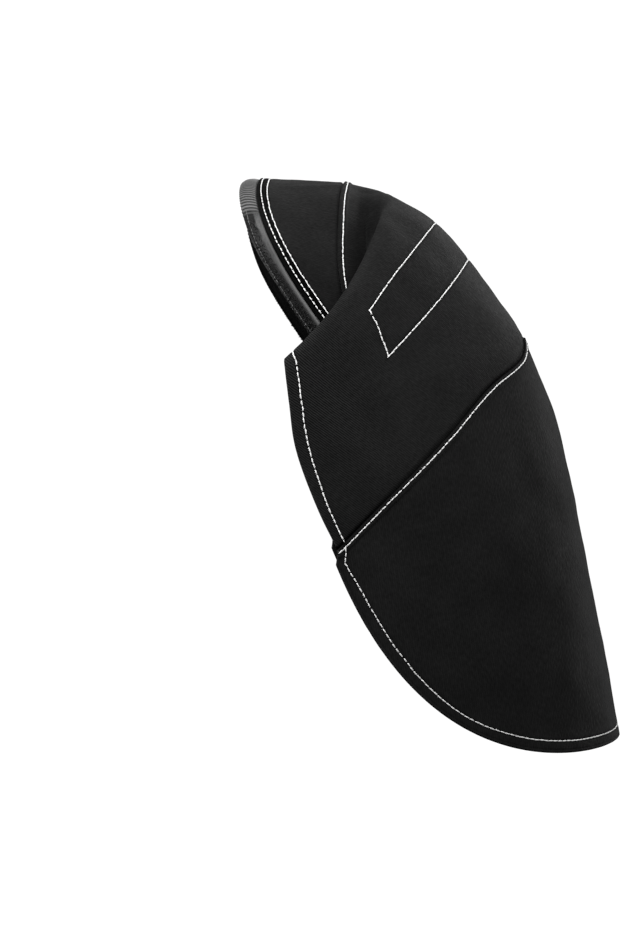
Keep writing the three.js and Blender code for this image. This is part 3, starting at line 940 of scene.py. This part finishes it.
def ribbed_nylon(m):
    """Woven nylon hook tape, black: its cross ribs over the crown get a painted grey highlight, palest at
    the top. Lower down, a strip without hooks beside the cloth and its selvedge get painted grey highlights,
    and a rough black ground lies under the hooks."""
    place = add_node(m, "TexCoord", output="Object")
    strip_highlight, top, ribs, selvedge_and_highlight, top_highlight = (
        add_node(m, "Attribute", {"attribute_name": name}, output="Fac")
        for name in ("strip_highlight", "top", "ribs", "selvedge_and_highlight", "top_highlight")
    )
    fuzz_look = {"Scale": noise_at(0.9 * MM), "Detail": 3.0, "Roughness": 0.7}
    fuzz = add_node(m, "TexNoise", {}, fuzz_look, {"Vector": place})
    dark = add_node(m, "Mix", COLOURS, {6: "#080808", 7: "#1c1c1c"}, {0: fuzz})
    # The greys of the ribs, of the strip and of the selvedge are painted highlights on the black tape,
    # palest at the top.
    groove = add_node(m, "Mix", COLOURS, {6: "#080808", 7: "#141414"}, {0: top_highlight})
    rib = add_node(m, "Mix", COLOURS, {6: "#7c7c7c", 7: "#b0b0b0"}, {0: top_highlight})
    pale = add_node(m, "Mix", COLOURS, {}, {0: ribs, 6: groove, 7: rib})
    over = add_node(m, "Mix", COLOURS, {}, {0: top, 6: dark, 7: pale})
    tufts = add_node(m, "MapRange", {}, {"From Min": 0.35, "From Max": 0.65}, {"Value": fuzz})
    lit_strip = add_node(m, "Mix", COLOURS, {6: "#4c4c4c", 7: "#686868"}, {0: tufts})
    strip = add_node(m, "Mix", COLOURS, {}, {0: strip_highlight, 6: over, 7: lit_strip})
    tone = add_node(m, "Mix", COLOURS, {7: "#6e6e6e"}, {0: selvedge_and_highlight, 6: strip})
    height = add_node(m, "Bump", {}, {"Strength": 0.5, "Distance": 0.2 * MM}, {"Height": fuzz})
    finish = {"Roughness": 0.55, "Specular IOR Level": 0.3}
    return add_node(m, "BsdfPrincipled", {}, finish, {"Base Color": tone, "Normal": height})


def nylon_filament(m):
    """Black nylon monofilament of the hooks: glossy, with small glints and a slightly uneven dye."""
    place = add_node(m, "TexCoord", output="Object")
    dye = add_node(m, "TexNoise", {}, {"Scale": noise_at(6 * MM), "Detail": 2.0}, {"Vector": place})
    tone = add_node(m, "Mix", COLOURS, {6: "#0a0a0a", 7: "#202020"}, {0: dye})
    finish = {"Roughness": 0.35, "Specular IOR Level": 0.5}
    return add_node(m, "BsdfPrincipled", {}, finish, {"Base Color": tone})


# Assembly

CANVAS = new_material("black_cotton_twill", cotton_twill)
WHITE_THREAD = new_material("white_spun_thread", spun_thread, "#f0f0ee", "#ffffff")
GREY_THREAD = new_material("grey_spun_thread", spun_thread, "#505050", "#8a8a8a")
NYLON = new_material("ribbed_nylon_tape", ribbed_nylon)
FILAMENT = new_material("black_nylon_filament", nylon_filament)


def finish_piece(piece, material, replaces=None):
    """Gives a piece its material, hangs it on the root body, and hides the part of the model that it
    replaces.
    """
    piece.data.materials.append(material)
    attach(piece, "root")
    if replaces:
        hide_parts(replaces)


tape, hook_places, tape_rows = hook_tape()
crown, back, cape = crown_panel(), back_panel(), neck_cape()
finish_piece(tape.piece, NYLON, "hook_tape")
finish_piece(crown.piece, CANVAS, "crown_panel")
finish_piece(back.piece, CANVAS, "back_panel")
finish_piece(cape.piece, CANVAS, "neck_cape")
finish_piece(hook_field(tape, hook_places, 8), FILAMENT)


def row_inside(edge, inside, distance):
    """A line at this distance from an edge, on the side where the points inside lie."""
    tangent = unit(np.gradient(edge, axis=0))
    inwards = inside - edge
    inwards = unit(inwards - tangent * (inwards * tangent).sum(axis=1, keepdims=True))
    return edge + inwards * np.broadcast_to(distance, len(edge))[:, None]


def smoothed(path, window):
    """A row with its corners rounded, averaged over a window of this length."""
    step = 0.5 * MM
    close = dense(path, step)
    half = int(window / step / 2)
    weights = np.hanning(2 * half + 3)[1:-1]
    weights /= weights.sum()
    padded = np.pad(close, ((half, half), (0, 0)), "edge")
    return np.stack([np.convolve(padded[:, i], weights, "valid") for i in range(3)], axis=1)


def on_both_faces(sheet, paths, pitch, share):
    """Rows of stitches that go through a panel: the top thread outside, and the thread below it inside."""
    finders = face_finder(sheet.outer), face_finder(sheet.inner, inside=True)
    return [(path, finder, pitch, share) for finder in finders for path in paths]


# Each side edge's column of points, and one further in that shows the way inwards. From the cape's seam and
# bottom, rows further in do so, the lower one drawn in to this share of its width.
SIDE_COLUMNS = ((0, 14), (-1, -15))
SEAM_INNER_ROW = len(SEAM_STEPS) + 10
BOTTOM_INNER_ROW = -30
DRAWN_IN = 0.9
# The row along a flap's hem starts just before the fold.
FLAP_START = FOLD - 0.6
rim_rows = [row_inside(crown.mid[0], crown.mid[len(RIM_STEPS)], rim_row(row, TURNS)) for row in (0, 1)]
crown_row = row_inside(back.mid[0], back.mid[len(SEAM_STEPS)], CROWN_ROW)
on_flap = back.stations[:, 0] > FLAP_START
flap_rows = []
for column, inner_column in SIDE_COLUMNS:
    edge = back.mid[on_flap, column]
    flap_rows.append(row_inside(edge, back.mid[on_flap, inner_column], hem_row(FLAP_ROW, edge)))

# The row along the cape seam runs off the cloth at both front edges, at this station of the cape.
RUN_OFF = 0.8
seam_end = np.argmin(np.abs(cape.stations[:, 0] - RUN_OFF))
seam_row = row_inside(cape.mid[0], cape.mid[SEAM_INNER_ROW], CAPE_ROW)
seam_row = np.concatenate([cape.mid[seam_end, :1], seam_row, cape.mid[seam_end, -1:]])

# The row along the cape's hem goes down one front edge, along the bottom and up the other front edge.
HEM_CORNER = 8 * MM
right_front, left_front = ((cape.mid[:-1, edge], cape.mid[:-1, inner]) for edge, inner in SIDE_COLUMNS)
middle_column = len(TURNS) // 2
inner_columns = np.round(middle_column + DRAWN_IN * (np.arange(len(TURNS)) - middle_column)).astype(int)
bottom = cape.mid[-1], cape.mid[BOTTOM_INNER_ROW, inner_columns]
hem_edge, hem_inside = (
    np.concatenate([right, along, left[::-1]]) for right, along, left in zip(right_front, bottom, left_front)
)
hem_path = smoothed(row_inside(hem_edge, hem_inside, hem_row(HEM_ROW, hem_edge)), HEM_CORNER)
hem_path = np.concatenate([flap_rows[0][-1:], hem_path, flap_rows[1][-1:]])
hem_paths = np.split(hem_path, np.flatnonzero(np.diff(hem_path[:, 2] > HEM_CLOSED)) + 1)

outer_crown, inner_tape = face_finder(crown.outer), face_finder(tape.inner, inside=True)
threads = [
    sew("rim_stitches", [
        (rim_rows[0], outer_crown, STITCH, 0.86), (rim_rows[1], outer_crown, STITCH, 1.06),
        (rim_rows[0], inner_tape, STITCH, 0.86),
    ], 1),
    sew("crown_seam_stitches", on_both_faces(back, [crown_row], STITCH, 1.04), 2),
    sew("band_stitches", on_both_faces(back, band_rows(), STITCH, 1.06), 3),
    sew("flap_hem_stitches", on_both_faces(back, flap_rows, HEM_STITCH, 0.95), 4, FLAP_THREAD),
    sew("cape_seam_stitches", on_both_faces(cape, [seam_row], STITCH, 1.04), 5),
    sew("cape_hem_stitches", [
        *on_both_faces(cape, hem_paths[::2], HEM_STITCH, 0.9),
        *on_both_faces(cape, hem_paths[1:2], HEM_STITCH, 1.06),
    ], 6),
]
for thread in threads:
    finish_piece(thread, WHITE_THREAD)
outer_tape = face_finder(tape.outer)
grey_rows = [(row, outer_tape, TAPE_STITCH, 0.9) for row in tape_rows]
tape_thread = sew("tape_stitches", grey_rows, 7, TAPE_THREAD)
finish_piece(tape_thread, GREY_THREAD)

# Studio

def studio_paper(m):
    """Matt white background paper, lit so that it looks blank."""
    look = {"Base Color": "#f2f2f0", "Roughness": 0.9, "Emission Color": "#ffffff", "Emission Strength": 1.0}
    return add_node(m, "BsdfPrincipled", {}, look)


FLOOR_Z = -0.62
FLOOR_SIZE = 12
bpy.ops.object.select_all(action="DESELECT")
bpy.ops.mesh.primitive_plane_add(size=FLOOR_SIZE, location=(0, 0, FLOOR_Z))
floor = bpy.context.object
floor.name = "floor"
bpy.ops.object.transform_apply(location=True)
floor.data.materials.append(new_material("white_studio_paper", studio_paper))
floor.visible_diffuse = False
floor.visible_glossy = False

world = bpy.data.worlds.new("white_studio")
world.use_nodes = True
world.node_tree.nodes.clear()
seen = add_node(world, "Background", {}, {"Color": (1, 1, 1, 1), "Strength": 1.05})
fill = add_node(world, "Background", {}, {"Color": (1, 1, 1, 1), "Strength": 0.06})
camera_ray = add_node(world, "LightPath")
around = add_node(world, "MixShader", {}, {}, {0: camera_ray, 1: fill, 2: seen})
add_node(world, "OutputWorld", {}, {}, {"Surface": around})
bpy.context.scene.world = world

# Light panels: place, target, power in watts and size. Two stand above the camera's side, two behind catch
# the edges, and the rest light the other sides.
PANELS = {
    "near_panel": ((0.55, -0.1, 0.25), (0.1, 0.05, -0.12), 4.2, 0.4),
    "close_panel": ((0.4, 0.4, 0.2), (0.08, 0.1, -0.09), 1.1, 0.25),
    "far_panel": ((-0.5, 0.7, 0.5), (0, 0.1, -0.15), 3.1, 0.6),
    "rim_panel": ((-0.4, 1.0, 0.6), (0, 0.1, -0.15), 1.0, 0.4),
    "right_panel": ((-0.8, 0.0, -0.05), (-0.1, 0.08, -0.15), 4.0, 0.4),
    "front_panel": ((-0.3, -0.9, -0.1), (0, 0.1, -0.15), 4.0, 0.5),
    "behind_panel": ((-0.5, 0.9, -0.2), (0, 0.15, -0.2), 1.5, 0.4),
}
for panel_name, (place, target, power, size) in PANELS.items():
    light = bpy.data.lights.new(panel_name, "AREA")
    light.shape, light.size, light.energy = "DISK", size, power
    lamp = bpy.data.objects.new(panel_name, light)
    lamp.location = place
    lamp.rotation_euler = (Vector(target) - Vector(place)).to_track_quat("-Z", "Y").to_euler()
    lamp.visible_camera = False
    bpy.context.scene.collection.objects.link(lamp)

# The camera stands on the left. The picture's centre is this (y, z) of the middle plane, where a pixel has
# this size.
CAMERA_DISTANCE = 1.3
PICTURE_CENTRE = (0.036, -0.172)
PIXEL = 0.61 * MM
PICTURE_HEIGHT = 931
SENSOR = 36
camera_data = bpy.data.cameras.new("photo_camera")
camera_data.lens = CAMERA_DISTANCE / PIXEL * SENSOR / PICTURE_HEIGHT
camera_data.sensor_width = SENSOR
camera = bpy.data.objects.new("photo_camera", camera_data)
camera.location = (CAMERA_DISTANCE, *PICTURE_CENTRE)
camera.rotation_euler = (math.pi / 2, 0, math.pi / 2)
bpy.context.scene.collection.objects.link(camera)
bpy.context.scene.camera = camera
bpy.context.scene.view_settings.view_transform = "Standard"
